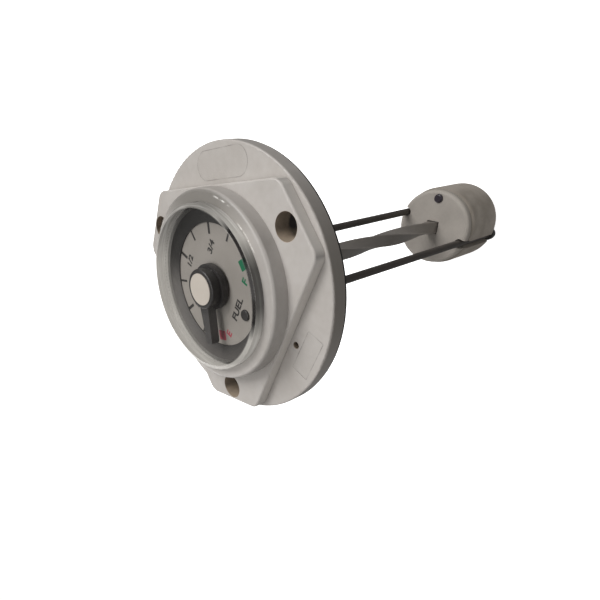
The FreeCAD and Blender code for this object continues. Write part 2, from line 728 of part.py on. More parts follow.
lid = new_body("float_lid")
pad(lid, "disc", circles(lid, "disc_line", [(0, 0, lid_radius)], lid_under),
    S.lid_thick)
dress(lid, "disc_round", "Fillet", S.lid_edge, ring_at(lid_radius, lid_top))
pocket(lid, "notches", notch_line(lid, "notch_line", lid_top), S.lid_thick, turns=2)
window = S.bar_side * 0.5 + S.lid_hole_gap
pocket(lid, "window", outline(lid, "window_line", [
    (window, window), (-window, window), (-window, -window), (window, -window)],
    level=lid_top, turn=S.lid_angle), S.lid_thick)
pocket(lid, "plug_hole", circles(lid, "plug_line", [
    (S.plug_along, S.plug_across, S.plug_radius)], lid_top), S.lid_thick)

plug = new_body("float_plug")
pad(plug, "shank", circles(plug, "shank_line", [
    (S.plug_along, S.plug_across, S.plug_radius)], lid_top - S.plug_root), S.plug_root)
pad(plug, "head", circles(plug, "head_line", [
    (S.plug_along, S.plug_across, S.plug_head)], lid_top), S.plug_rise)
dress(plug, "head_round", "Fillet", S.plug_edge, top_rim(lid_top + S.plug_rise))

# The pointer rests at E, half the sweep anticlockwise from the top of the dial.
for turning in (pointer, cap, pole):
    turning.Placement = Placement(turning.Placement.Base, Rotation(Vector(0, 0, 1), 1))
    bind(turning, "Placement.Rotation.Angle", 90 + S.sweep * 0.5)

PIECES = [head, gasket, lens, seal, bezel, dial, peg, spindle, pointer, cap, pole,
          plate, cup, drive, bar, pivot, rod_near, rod_far, end, clips, foam, lid, plug]

doc.recompute()
for item in doc.Objects:
    if "Invalid" in item.State or "Error" in item.State:
        raise RuntimeError("%s did not build: %s" % (item.Name, item.State))
for piece in PIECES:
    if piece.Shape.isNull() or not piece.Shape.isValid():
        raise RuntimeError("%s has no valid solid" % piece.Label)
    print("%-18s %9.1f mm3" % (piece.Label, piece.Shape.Volume))

os.makedirs("parts", exist_ok=True)
for piece in PIECES:
    piece.Shape.exportStep("parts/%s.step" % piece.Label)
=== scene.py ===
"""Looks of a direct-reading float gauge for a fuel tank.

Everything is in metres in the gauge's own frame: Z is the axis of the dial and of the
twisted bar, up out of the tank, Z = 0 is the tank face, and +Y is the top of the dial.
Directions round that axis are in degrees, from +X towards +Y.
"""
import logging
import math
import operator
from dataclasses import dataclass, field
from enum import Enum
from functools import reduce
from typing import Any, Iterable, Mapping, Protocol, Sequence, Union

import bmesh
import bpy
from mathutils import Matrix, Vector


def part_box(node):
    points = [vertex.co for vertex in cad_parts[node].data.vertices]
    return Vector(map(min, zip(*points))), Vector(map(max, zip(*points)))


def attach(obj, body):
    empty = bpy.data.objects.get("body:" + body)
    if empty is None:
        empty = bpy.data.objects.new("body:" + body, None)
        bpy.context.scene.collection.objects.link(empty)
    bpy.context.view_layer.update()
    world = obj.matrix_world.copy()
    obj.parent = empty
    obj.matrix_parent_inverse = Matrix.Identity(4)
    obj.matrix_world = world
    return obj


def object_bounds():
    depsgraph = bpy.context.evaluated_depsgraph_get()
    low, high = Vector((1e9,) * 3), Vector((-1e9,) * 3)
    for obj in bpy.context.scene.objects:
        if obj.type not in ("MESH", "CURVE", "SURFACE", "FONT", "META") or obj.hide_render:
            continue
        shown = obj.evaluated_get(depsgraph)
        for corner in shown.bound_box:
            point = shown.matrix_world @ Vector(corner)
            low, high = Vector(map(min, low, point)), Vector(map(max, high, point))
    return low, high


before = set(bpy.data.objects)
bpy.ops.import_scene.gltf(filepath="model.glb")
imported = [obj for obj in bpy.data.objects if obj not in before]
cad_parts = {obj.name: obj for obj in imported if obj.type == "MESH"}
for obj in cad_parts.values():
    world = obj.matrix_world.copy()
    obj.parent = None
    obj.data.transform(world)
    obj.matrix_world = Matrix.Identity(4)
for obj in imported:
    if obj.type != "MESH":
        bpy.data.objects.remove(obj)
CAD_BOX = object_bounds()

log = logging.getLogger("gauge")
MM = 0.001
MERGE_WITHIN = 1e-7
Number = Union[float, int]
Colour = tuple[float, float, float]
Band = tuple[float, float, float, float]


def tone(red: int, green: int, blue: int) -> Colour:
    """Turn display values from 0 to 255 into a linear colour.

    Args:
        red: Red as it is displayed.
        green: Green as it is displayed.
        blue: Blue as it is displayed.

    Returns:
        The same colour in linear light.
    """
    def linear(value: int) -> float:
        """Undo the sRGB display curve of one channel."""
        share = value / 255.0
        return share / 12.92 if share <= 0.04045 else ((share + 0.055) / 1.055) ** 2.4
    return linear(red), linear(green), linear(blue)


def heading(angle: float) -> tuple[float, float]:
    """Unit step across the axis in a direction, as x and y."""
    return math.cos(math.radians(angle)), math.sin(math.radians(angle))


class Wire:
    """A number socket that takes part in sums."""

    def __init__(self, tree: bpy.types.NodeTree, socket: bpy.types.NodeSocket) -> None:
        """Keep the socket and the tree that it belongs to."""
        self.tree = tree
        self.socket = socket

    def math(self, operation: str, *others: Union["Wire", Number],
             swap: bool = False) -> "Wire":
        """Add one Math node.

        Args:
            operation: The Math node's operation.
            others: The other terms, as wires or numbers.
            swap: Whether this wire is the second term.

        Returns:
            The node's result.
        """
        node = self.tree.nodes.new("ShaderNodeMath")
        node.operation = operation
        terms = [self, *others]
        if swap:
            terms[0], terms[1] = terms[1], terms[0]
        for index, term in enumerate(terms):
            if isinstance(term, Wire):
                self.tree.links.new(term.socket, node.inputs[index])
            else:
                node.inputs[index].default_value = float(term)
        return Wire(self.tree, node.outputs[0])

    def __add__(self, other: Union["Wire", Number]) -> "Wire":
        """Sum."""
        return self.math("ADD", other)

    __radd__ = __add__

    def __sub__(self, other: Union["Wire", Number]) -> "Wire":
        """Difference."""
        return self.math("SUBTRACT", other)

    def __rsub__(self, other: Union["Wire", Number]) -> "Wire":
        """Difference, from the other term."""
        return self.math("SUBTRACT", other, swap=True)

    def __mul__(self, other: Union["Wire", Number]) -> "Wire":
        """Product."""
        return self.math("MULTIPLY", other)

    __rmul__ = __mul__

    def __truediv__(self, other: Union["Wire", Number]) -> "Wire":
        """Quotient."""
        return self.math("DIVIDE", other)

    def __pow__(self, other: Number) -> "Wire":
        """Power."""
        return self.math("POWER", other)

    def __abs__(self) -> "Wire":
        """Size without its sign."""
        return self.math("ABSOLUTE")

    def most(self, other: Union["Wire", Number]) -> "Wire":
        """Larger of two."""
        return self.math("MAXIMUM", other)

    def clipped(self) -> "Wire":
        """Hold between 0 and 1."""
        return self.math("MAXIMUM", 0.0).math("MINIMUM", 1.0)

    def ramp(self, low: float, high: float) -> "Wire":
        """Rise from 0 at low to 1 at high, held outside; falls if high is below low."""
        return ((self - low) / (high - low)).clipped()

    def band(self, marks: Band) -> "Wire":
        """Rise from 0 to 1 over the first two marks and fall again over the last two."""
        return self.ramp(marks[0], marks[1]) * self.ramp(marks[3], marks[2])


class Tree:
    """A node tree while it is being built."""

    def __init__(self, tree: bpy.types.NodeTree) -> None:
        """Keep the tree."""
        self.tree = tree

    def node(self, kind: str, settings: Mapping[str, Any] | None = None,
             sockets: Mapping[Union[str, int], Any] | None = None) -> bpy.types.Node:
        """Make any node.

        Args:
            kind: The node's type.
            settings: Properties that are set first.
            sockets: Values or links of its inputs, by name or index.

        Returns:
            The new node.
        """
        made = self.tree.nodes.new(kind)
        for key, value in (settings or {}).items():
            setattr(made, key, value)
        for key, value in (sockets or {}).items():
            if isinstance(value, Wire):
                value = value.socket
            if isinstance(value, bpy.types.NodeSocket):
                self.tree.links.new(value, made.inputs[key])
            elif isinstance(value, tuple) and len(value) < len(made.inputs[key].default_value):
                made.inputs[key].default_value = (*value, 1.0)
            else:
                made.inputs[key].default_value = value
        return made

    def across(self, **parts: Any) -> bpy.types.NodeSocket:
        """Vector put together from its X, Y and Z."""
        return self.node("ShaderNodeCombineXYZ", {}, parts).outputs[0]


@dataclass(frozen=True)
class Noise:
    """Cloudy value around 0.5.

    It has so many features per metre and so many finer layers, which weigh more where it
    is rough; its share is its weight beside other noises.
    """

    scale: float
    detail: float = 3.0
    rough: float = 0.55
    share: float = 1.0


class Surface(Tree):
    """A material while it is being built."""

    def __init__(self, name: str) -> None:
        """Start an empty material with an output and object coordinates."""
        self.material = bpy.data.materials.new(name)
        self.material.use_nodes = True
        super().__init__(self.material.node_tree)
        self.tree.nodes.clear()
        self.output = self.node("ShaderNodeOutputMaterial")
        self.place = self.node("ShaderNodeTexCoord").outputs["Object"]
        split = self.node("ShaderNodeSeparateXYZ", {}, {0: self.place})
        self.x, self.y, self.z = (Wire(self.tree, split.outputs[i]) for i in range(3))

    def stretched(self, scale: Sequence[float]) -> bpy.types.NodeSocket:
        """Object coordinates scaled along each axis."""
        return self.node("ShaderNodeMapping", {}, {
            "Vector": self.place, "Scale": tuple(scale)}).outputs[0]

    def noise(self, pattern: Noise, where: bpy.types.NodeSocket | None = None) -> Wire:
        """One noise, at the object's own coordinates if no others are given."""
        return Wire(self.tree, self.node("ShaderNodeTexNoise", {}, {
            "Vector": where or self.place, "Scale": pattern.scale,
            "Detail": pattern.detail, "Roughness": pattern.rough}).outputs[0])

    def noises(self, patterns: Iterable[Noise],
               where: bpy.types.NodeSocket | None = None) -> Wire:
        """Sum of several noises, each by its share."""
        return reduce(operator.add, (self.noise(pattern, where) * pattern.share
                                     for pattern in patterns))

    def cells(self, scale: float) -> Wire:
        """Distance to the nearest of many scattered points, so many per metre."""
        return Wire(self.tree, self.node("ShaderNodeTexVoronoi", {}, {
            "Vector": self.place, "Scale": scale}).outputs["Distance"])

    def blend(self, share: Union[Wire, float], first: Any, second: Any
              ) -> bpy.types.NodeSocket:
        """Mix two colours; share 0 gives the first and 1 the second."""
        return self.node("ShaderNodeMix", {"data_type": "RGBA"},
                         {0: share, 6: first, 7: second}).outputs[2]

    def relief(self, height: Wire, depth: float, strength: float = 1.0
               ) -> bpy.types.NodeSocket:
        """Bump from a height that runs from 0 to 1.

        Args:
            height: The height.
            depth: What a height of 1 stands for, in metres.
            strength: How strongly it tells.

        Returns:
            The bent normal.
        """
        return self.node("ShaderNodeBump", {}, {
            "Height": height, "Distance": depth, "Strength": strength}).outputs[0]

    def radius(self) -> Wire:
        """Distance from the gauge's axis."""
        return (self.x * self.x + self.y * self.y) ** 0.5

    def along(self, angle: float) -> Wire:
        """How far out a point lies in a direction."""
        x, y = heading(angle)
        return self.x * x + self.y * y

    def toward(self, angle: float) -> Wire:
        """1 on the side of the axis that lies in a direction, -1 opposite."""
        return self.along(angle) / self.radius()

    def close(self, **sockets: Any) -> bpy.types.Material:
        """Finish with a Principled shader; underscores stand for spaces in its names."""
        shader = self.node("ShaderNodeBsdfPrincipled", {}, {
            key.replace("_", " "): value for key, value in sockets.items()})
        self.tree.links.new(shader.outputs[0], self.output.inputs[0])
        return self.material


class Finish(Protocol):
    """What the workshop needs of a finish."""

    @property
    def name(self) -> str:
        """The material's name."""

    def build(self) -> bpy.types.Material:
        """Build the material."""


@dataclass(frozen=True)
class Moulded:
    """Moulded or machined material with cloudy tone, fine grain and uneven gloss.

    Its tone swings by a share of the colour, and its roughness by its unevenness. A zone
    takes on its own colour between two distances from the gauge's axis.
    """

    name: str
    colour: Colour
    gloss: float = 0.5
    grain: float = 9000.0
    depth: float = 0.01 * MM
    swing: float = 0.12
    metal: float = 0.0
    stretch: tuple[float, float, float] = (1.0, 1.0, 1.0)
    zone: tuple[float, float] | None = None
    zone_colour: Colour = (0.0, 0.0, 0.0)
    uneven: float = 0.12
    clouds: tuple[Noise, ...] = (Noise(160.0, 4.0, share=0.56),
                                 Noise(900.0, 3.0, share=0.24))
    grain_share: float = 0.2

    def build(self) -> bpy.types.Material:
        """Build the material."""
        surface = Surface(self.name)
        grain = surface.noise(Noise(self.grain, 2.0, 0.6), surface.stretched(self.stretch))
        mottle = surface.noises(self.clouds) + grain * self.grain_share
        dark = tuple(c * (1 - self.swing) for c in self.colour)
        pale = tuple(min(1.0, c * (1 + self.swing)) for c in self.colour)
        colour = surface.blend(mottle.ramp(0.3, 0.7), dark, pale)
        if self.zone:
            colour = surface.blend(surface.radius().ramp(*self.zone), colour,
                                   self.zone_colour)
        return surface.close(
            Base_Color=colour, Metallic=self.metal,
            Roughness=(grain * self.uneven + (self.gloss - self.uneven / 2)).clipped(),
            Normal=surface.relief(grain, self.depth))


STEEL = Moulded("steel", tone(170, 170, 172), gloss=0.3, grain=6000.0, depth=0.006 * MM,
                swing=0.08, metal=1.0, stretch=(1.0, 1.0, 0.1))
MAGNET = Moulded("magnet", tone(58, 58, 62), gloss=0.55)
INNER_GREY = Moulded("inner_grey", tone(128, 126, 122))
RUBBER = Moulded("gasket_black", tone(30, 29, 28), gloss=0.75, grain=4000.0,
                 depth=0.03 * MM)


@dataclass(frozen=True)
class HeadPlastic:
    """Pale plastic of the head: darker at the plateau's foot, brown in the screw holes.

    A share says how strongly a tint covers what lies below it. A hole is given by its
    reach from the axis, its direction and its radius. A painted highlight arc is given
    by its reach, its direction and the cosine of half its spread.
    """

    name: str = "head_plastic"
    colour: Colour = tone(176, 172, 168)
    shade: Colour = tone(166, 161, 156)
    # Painted light on the plateau's side walls; the next tone darkens the plateau's foot and
    # is painted shade on the flange's edge.
    bright: Colour = tone(214, 209, 203)
    dark_foot_and_rim_shade: Colour = tone(120, 114, 107)
    # The holes' walls: the first tone is where they are lit, the second is painted shade,
    # deeper in and on their far side.
    bore: Colour = tone(186, 170, 151)
    bore_dark: Colour = tone(34, 26, 24)
    # Painted highlight colour for arcs on the collar's top.
    highlight_colour: Colour = tone(236, 234, 230)
    # Painted shade on the collar's top ring.
    collar_shade: Colour = tone(112, 109, 104)
    clouds: tuple[Noise, ...] = (Noise(55.0, 4.0, share=0.6), Noise(420.0, 4.0, share=0.4))
    grain: Noise = Noise(7000.0, 2.0)
    ripple: Noise = Noise(900.0)
    patches: Noise = Noise(300.0)
    bore_patches: Noise = Noise(600.0, 4.0)
    breaks: Noise = Noise(700.0, 2.0)
    long_side: float = 29.1 * MM
    short_side: float = 39.0 * MM
    holes: tuple[tuple[float, float, float], ...] = (
        (34.4 * MM, 90.0, 3.8 * MM), (34.4 * MM, -30.0, 3.8 * MM),
        (34.4 * MM, 210.0, 3.8 * MM), (31.2 * MM, -90.0, 1.0 * MM))
    hole_lit_way: tuple[float, float] = (-0.76, -0.65)
    hole_pale_to: float = 4.3 * MM
    hole_dark_from: float = 5.7 * MM
    bore_shade_level: float = 0.57
    bore_light_lean: float = 0.42
    bore_shade_deep: float = 0.5
    bore_shade_patches: float = 0.4
    flange_top: float = 5.1 * MM
    flange_edge: float = 40.7 * MM
    plateau_top: float = 8.7 * MM
    collar_top: float = 13.8 * MM
    wall_band: Band = (-0.5 * MM, -0.1 * MM, 0.1 * MM, 0.3 * MM)
    wall_share: float = 0.8
    foot_band: Band = (-0.8 * MM, -0.1 * MM, 0.2 * MM, 1.5 * MM)
    foot_share: float = 0.08
    dull_side: float = -57.0
    lit_side: float = 28.0
    rim_share: float = 0.85
    collar_shade_shares: tuple[float, float] = (0.85, 0.2)
    arcs: tuple[tuple[float, float, float], ...] = (
        (27.5 * MM, 5.0, 0.990), (25.6 * MM, -24.0, 0.978))
    arc_share: float = 0.8

    def plateau_distance(self, surface: Surface) -> Wire:
        """Distance outwards from the plateau's outline, negative on it.

        Args:
            surface: The material being built.

        Returns:
            The distance in metres.
        """
        sides = (self.long_side, self.short_side)
        return reduce(Wire.most, (surface.along(60 * index - 90) - sides[index % 2]
                                  for index in range(6)))

    def hole_walls(self, surface: Surface) -> tuple[Wire, Wire]:
        """Find the walls of the screw holes and of the small locating hole.

        Args:
            surface: The material being built.

        Returns:
            1 on the walls, and how far a wall lies towards their painted lit side, from
            -1 to 1.
        """
        walls, tilts = [], []
        for reach, angle, size in self.holes:
            x, y = heading(angle)
            dx, dy = surface.x - reach * x, surface.y - reach * y
            gap = (dx * dx + dy * dy) ** 0.5
            walls.append(gap.ramp(size + 0.06 * MM, size + 0.02 * MM))
            tilts.append((dx * self.hole_lit_way[0] + dy * self.hole_lit_way[1])
                         / size * walls[-1])
        return reduce(Wire.most, walls), reduce(operator.add, tilts)

    def painted_highlight_arcs(self, surface: Surface) -> Wire:
        """Painted highlights: bright, broken arcs on the collar's top beside the lens.

        Args:
            surface: The material being built.

        Returns:
            1 on the arcs.
        """
        arcs = reduce(Wire.most, (
            abs(surface.radius() - reach).ramp(0.32 * MM, 0.08 * MM)
            * surface.toward(angle).ramp(spread, 0.5 + spread / 2)
            for reach, angle, spread in self.arcs))
        return (arcs * surface.z.ramp(self.collar_top - 0.4 * MM, self.collar_top)
                * surface.noise(self.breaks).ramp(0.4, 0.56))

    def painted_light_and_shade(self, surface: Surface, colour: bpy.types.NodeSocket) -> bpy.types.NodeSocket:
        """Paint light on the plateau's walls, darken their foot, paint shade on the flange's
        edge.

        Args:
            surface: The material being built.
            colour: The plastic's colour so far.

        Returns:
            The colour with these tints.
        """
        away = self.plateau_distance(surface)
        # Painted light: a band on the plateau's side walls is lightened.
        wall = away.band(self.wall_band) * surface.z.band(
            (self.flange_top, self.flange_top + 0.4 * MM,
             self.plateau_top - 0.6 * MM, self.plateau_top))
        # Darker in patches at the plateau's foot.
        foot = (away.band(self.foot_band)
                * surface.z.ramp(self.flange_top + 1.6 * MM, self.flange_top)
                * surface.noise(self.patches).ramp(0.25, 0.6))
        # Painted shade: the flange's outer edge is darkened on its side away from the lamps.
        rim = (surface.radius().ramp(self.flange_edge, self.flange_edge + 0.25 * MM)
               * surface.toward(self.dull_side).ramp(0.7, 1.0))
        colour = surface.blend(wall * self.wall_share, colour, self.bright)
        colour = surface.blend(foot * self.foot_share, colour, self.dark_foot_and_rim_shade)
        return surface.blend(rim * self.rim_share, colour, self.dark_foot_and_rim_shade)

    def build(self) -> bpy.types.Material:
        """Build the material."""
        surface = Surface(self.name)
        cloud = surface.noises(self.clouds)
        grain = surface.noise(self.grain)
        colour = self.painted_light_and_shade(surface, surface.blend(cloud.ramp(0.35, 0.65), self.shade,
                                                  self.colour))
        walls, tilt = self.hole_walls(surface)
        # Painted shade: the holes' walls darken with depth and away from their lit side,
        # varied in patches by noise.
        deep = surface.z.ramp(self.plateau_top - self.hole_pale_to,
                              self.plateau_top - self.hole_dark_from)
        bore_shade = (self.bore_shade_level - tilt.ramp(0.0, 0.4) * self.bore_light_lean
                 + deep * self.bore_shade_deep
                 + (surface.noise(self.bore_patches) - 0.5) * self.bore_shade_patches).clipped()
        colour = surface.blend(walls, colour,
                               surface.blend(bore_shade, self.bore, self.bore_dark))
        # Painted shade: the collar's top ring is greyed, strongly on the lit side and a little
        # on the dull side.
        lit, dull = self.collar_shade_shares
        collar_shade = (surface.z.ramp(self.collar_top - 0.5 * MM, self.collar_top - 0.1 * MM)
                * (surface.toward(self.lit_side).ramp(0.6, 0.95) * lit
                   + surface.toward(self.dull_side).ramp(0.6, 1.0) * dull).clipped())
        colour = surface.blend(collar_shade, colour, self.collar_shade)
        # Painted highlights on the collar's top.
        colour = surface.blend(self.painted_highlight_arcs(surface) * self.arc_share, colour, self.highlight_colour)
        height = grain * 0.5 + surface.noise(self.ripple) * 0.5
        return surface.close(Base_Color=colour,
                             Roughness=0.34 + cloud * 0.1 + grain * 0.04 + walls * 0.2,
                             Normal=surface.relief(height, 0.03 * MM, 0.35))


@dataclass(frozen=True)
class ClearCap:
    """Clear plastic lens: open over the dial; a silvery reflection is painted where its wall
    is seen edge on.

    Below the shoulder its wall has an outer and an inner face; above, the brow is the
    ring round its window. Sides are directions from the axis.
    """

    name: str = "lens_clear"
    # Painted reflection: the pale silvery tone of the wall and brow.
    pale: Colour = tone(180, 177, 171)
    # Painted shade on two sides of the lens wall.
    side_shade: Colour = tone(96, 94, 91)
    # Painted highlight colour of streaks on the lens wall.
    highlight_streak: Colour = tone(238, 236, 232)
    # Painted shade: dusk darkens one side of the wall, black is a painted shadow line on the
    # brow.
    dusk: Colour = tone(34, 33, 32)
    black: Colour = tone(18, 17, 17)
    bands: tuple[Noise, ...] = (Noise(330.0, 2.0, 0.5, 0.65), Noise(900.0, 2.0, 0.5, 0.35))
    band_turn: float = 0.16
    band_rise: float = 2.6
    outer: float = 25.0 * MM
    inner: float = 23.4 * MM
    shoulder: float = 16.4 * MM
    line_side: float = -45.0
    dusk_side: float = -54.0
    side_shade_sides: tuple[float, float] = (40.0, 221.0)
    side_shade_shares: tuple[float, float] = (0.8, 0.3)
    highlight_streak_share: float = 0.3
    open_alpha: float = 0.012
    wall_alpha: float = 0.88
    brow_alpha: float = 0.72
    line_alpha: float = 0.2
    far_alpha: float = 0.3
    dusk_alpha: float = 0.5
    # Painted light: the lens glows with its own colour, though it is no lamp.
    glow: float = 0.45

    def build(self) -> bpy.types.Material:
        """Build the material."""
        surface = Surface(self.name)
        radius = surface.radius()
        low = surface.z.ramp(self.shoulder + 0.05 * MM, self.shoulder - 0.15 * MM)
        outside = low * radius.ramp(self.outer - 0.5 * MM, self.outer - 0.2 * MM)
        inside = low * radius.ramp(self.inner - 0.6 * MM, self.inner - 0.3 * MM)
        brow = (1 - low) * radius.ramp(self.inner + 0.2 * MM, self.inner + 0.6 * MM)
        near = surface.toward(self.line_side)
        # Painted shadow: a black line along the brow on one side.
        line = (brow * near.ramp(0.7, 0.86)
                * radius.ramp(self.outer - 0.05 * MM, self.outer - 0.3 * MM))
        bands = surface.noises(self.bands, surface.across(
            X=surface.x * self.band_turn, Y=surface.y * self.band_turn,
            Z=(surface.z - radius) * self.band_rise))
        # Painted shade: the wall is darker on its upper side and a little on its lower side.
        above, below = (surface.toward(side) for side in self.side_shade_sides)
        side_shade_mask = (above.ramp(0.45, 0.9) * self.side_shade_shares[0]).most(
            below.ramp(0.4, 0.9) * self.side_shade_shares[1])
        # Painted shade: the wall darkens towards its dull side.
        dusk = surface.toward(self.dusk_side).ramp(0.82, 0.98)
        colour = surface.blend(side_shade_mask, self.pale, self.side_shade)
        # Painted highlights: bright streaks along the lens wall.
        colour = surface.blend(bands.ramp(0.5, 0.68) * self.highlight_streak_share, colour,
                               self.highlight_streak)
        colour = surface.blend(dusk * (1.0 - bands * 0.25), colour, self.dusk)
        colour = surface.blend(line, colour, self.black)
        alpha = (self.open_alpha + outside * self.wall_alpha + brow * self.brow_alpha
                 + line * self.line_alpha
                 + inside * (near.ramp(0.25, -0.45) * self.far_alpha
                             + dusk * self.dusk_alpha)).clipped()
        # The emission makes the lens glow with its painted colours.
        return surface.close(Base_Color=colour, Roughness=0.12, Alpha=alpha, IOR=1.4,
                             Specular_IOR_Level=0.2, Emission_Color=colour,
                             Emission_Strength=self.glow)


def meshed(work: bmesh.types.BMesh, name: str, clean: bool = False) -> bpy.types.Mesh:
    """Turn a working mesh into a finished one.

    Args:
        work: The working mesh, which is freed.
        name: The finished mesh's name.
        clean: Whether to merge doubles and turn the faces outwards first.

    Returns:
        The finished mesh.
    """
    if clean:
        bmesh.ops.remove_doubles(work, verts=work.verts, dist=MERGE_WITHIN)
        bmesh.ops.recalc_face_normals(work, faces=work.faces)
    mesh = bpy.data.meshes.new(name)
    work.to_mesh(mesh)
    work.free()
    return mesh


def joined(name: str, meshes: Iterable[bpy.types.Mesh]) -> bpy.types.Mesh:
    """Join meshes, each in place, into one with clean normals."""
    work = bmesh.new()
    for mesh in meshes:
        work.from_mesh(mesh)
    return meshed(work, name, clean=True)


def placed(name: str, data: bpy.types.ID) -> bpy.types.Object:
    """Put a mesh, a curve, a light or a camera into the scene as an object."""
    item = bpy.data.objects.new(name, data)
    bpy.context.scene.collection.objects.link(item)
    return item


@dataclass(frozen=True)
class Film:
    """Clear label film with a faint cut edge, laid on the flange.

    Its middle lies at a reach from the axis in a direction, shifted sideways; its half
    sizes run sideways and outwards.
    """

    name: str
    turn: float
    reach: float
    shift: float
    half: tuple[float, float]
    corner: float
    thick: float = 0.10 * MM
    corner_steps: int = 8
    clear: Colour = tone(190, 187, 182)
    edge: Colour = tone(120, 116, 111)
    sheen: Noise = Noise(200.0, 2.0)
    clear_alpha: float = 0.05
    edge_alphas: tuple[float, float] = (0.06, 0.3)

    def build(self) -> bpy.types.Material:
        """Build the material."""
        surface = Surface(self.name)
        side = abs(surface.along(self.turn + 90) - self.shift)
        out = abs(surface.along(self.turn) - self.reach)
        side = (side - (self.half[0] - self.corner)).most(0.0)
        out = (out - (self.half[1] - self.corner)).most(0.0)
        cut = ((side * side + out * out) ** 0.5 - self.corner).ramp(-0.3 * MM, -0.1 * MM)
        sheen = surface.noise(self.sheen)
        least, more = self.edge_alphas
        return surface.close(Base_Color=surface.blend(cut, self.clear, self.edge),
                             Alpha=self.clear_alpha + cut * (
                                 least + sheen.ramp(0.4, 0.62) * more),
                             Roughness=0.2 + sheen * 0.1)

    def mesh(self, level: float) -> bpy.types.Mesh:
        """Cut the film, half sunk into the face that it lies on.

        Args:
            level: Height of that face.

        Returns:
            The film's mesh in place.
        """
        work = bmesh.new()
        rims: list[list[bmesh.types.BMVert]] = [[], []]
        for start in range(0, 360, 90):
            middle = [math.copysign(size - self.corner, way)
                      for size, way in zip(self.half, heading(start + 45))]
            for step in range(self.corner_steps + 1):
                way = heading(start + 90 * step / self.corner_steps)
                side, out = (m + self.corner * w for m, w in zip(middle, way))
                for rim, lift in zip(rims, (-0.5, 0.5)):
                    rim.append(work.verts.new((self.reach + out, self.shift - side,
                                               level + lift * self.thick)))
        under, upper = rims
        work.faces.new(upper)
        work.faces.new(under[::-1])
        for index, low in enumerate(under):
            after = (index + 1) % len(under)
            work.faces.new((low, under[after], upper[after], upper[index]))
        bmesh.ops.transform(work, matrix=Matrix.Rotation(math.radians(self.turn), 4, "Z"),
                            verts=work.verts)
        return meshed(work, self.name, clean=True)


@dataclass(frozen=True)
class Funnel:
    """Dark ring round the dial, with painted shade towards the dial, painted shadow black
    under the lens's top and painted light on another side.
    """

    name: str = "funnel_dark"
    rim: Colour = tone(72, 69, 67)
    foot: Colour = tone(44, 42, 41)
    pale: Colour = tone(108, 105, 102)
    black: Colour = tone(22, 21, 20)
    inner: float = 19.0 * MM
    outer: float = 23.0 * MM
    pale_side: float = 140.0
    pale_share: float = 0.4
    black_side: float = 54.0
    black_share: float = 0.95
    grain: Noise = Noise(5000.0, 2.0)

    def build(self) -> bpy.types.Material:
        """Build the material."""
        surface = Surface(self.name)
        grain = surface.noise(self.grain)
        # Painted light on one side and painted shadow, black, on another.
        pale = surface.toward(self.pale_side).ramp(0.5, 0.9) * self.pale_share
        black = surface.toward(self.black_side).ramp(0.35, 0.75) * self.black_share
        # Painted shade: darker towards the dial, where the ring meets it.
        colour = surface.blend(surface.radius().ramp(self.inner, self.outer), self.foot,
                               self.rim)
        colour = surface.blend(pale, colour, self.pale)
        colour = surface.blend(black, colour, self.black)
        return surface.close(Base_Color=colour, Roughness=0.5 + grain * 0.1,
                             Normal=surface.relief(grain, 0.008 * MM))


@dataclass(frozen=True)
class DialFinish:
    """Satin silver dial with a very fine grain."""

    name: str = "dial_silver"
    colour: Colour = tone(148, 143, 137)
    shade: Colour = tone(139, 134, 128)
    grain: Noise = Noise(12000.0, 2.0)
    cloud: Noise = Noise(140.0)

    def build(self) -> bpy.types.Material:
        """Build the material."""
        surface = Surface(self.name)
        grain = surface.noise(self.grain)
        mottle = surface.noise(self.cloud) * 0.7 + grain * 0.3
        return surface.close(
            Base_Color=surface.blend(mottle.ramp(0.3, 0.7), self.shade, self.colour),
            Metallic=0.15, Roughness=0.42 + grain * 0.1,
            Normal=surface.relief(grain, 0.004 * MM))


@dataclass(frozen=True)
class Foam:
    """Closed-cell foam: small cells, open pores, smudges and painted shade along its upper
    edge.
    """

    top: float
    name: str = "float_foam"
    colour: Colour = tone(178, 170, 161)
    shade: Colour = tone(150, 142, 132)
    pore: Colour = tone(92, 86, 78)
    brow: Colour = tone(124, 117, 108)
    cells: float = 1500.0
    smudge: Noise = Noise(90.0, 4.0)
    patches: Noise = Noise(500.0, 2.0)
    grain: Noise = Noise(3000.0, 2.0)
    pore_share: float = 0.6
    brow_share: float = 0.65

    def build(self) -> bpy.types.Material:
        """Build the material."""
        surface = Surface(self.name)
        cells = surface.cells(self.cells)
        pores = cells.ramp(0.22, 0.12) * surface.noise(self.patches).ramp(0.45, 0.6)
        # Painted shade: the foam's upper edge is darkened.
        brow = surface.z.ramp(self.top - 2.4 * MM, self.top - 0.9 * MM)
        colour = surface.blend(surface.noise(self.smudge).ramp(0.35, 0.65), self.shade,
                               self.colour)
        colour = surface.blend(pores * self.pore_share, colour, self.pore)
        colour = surface.blend(brow * self.brow_share, colour, self.brow)
        height = cells.ramp(0.0, 0.7) * 0.6 + surface.noise(self.grain) * 0.4
        return surface.close(Base_Color=colour, Roughness=0.78 + cells * 0.15,
                             Normal=surface.relief(height, 0.06 * MM, 0.5))


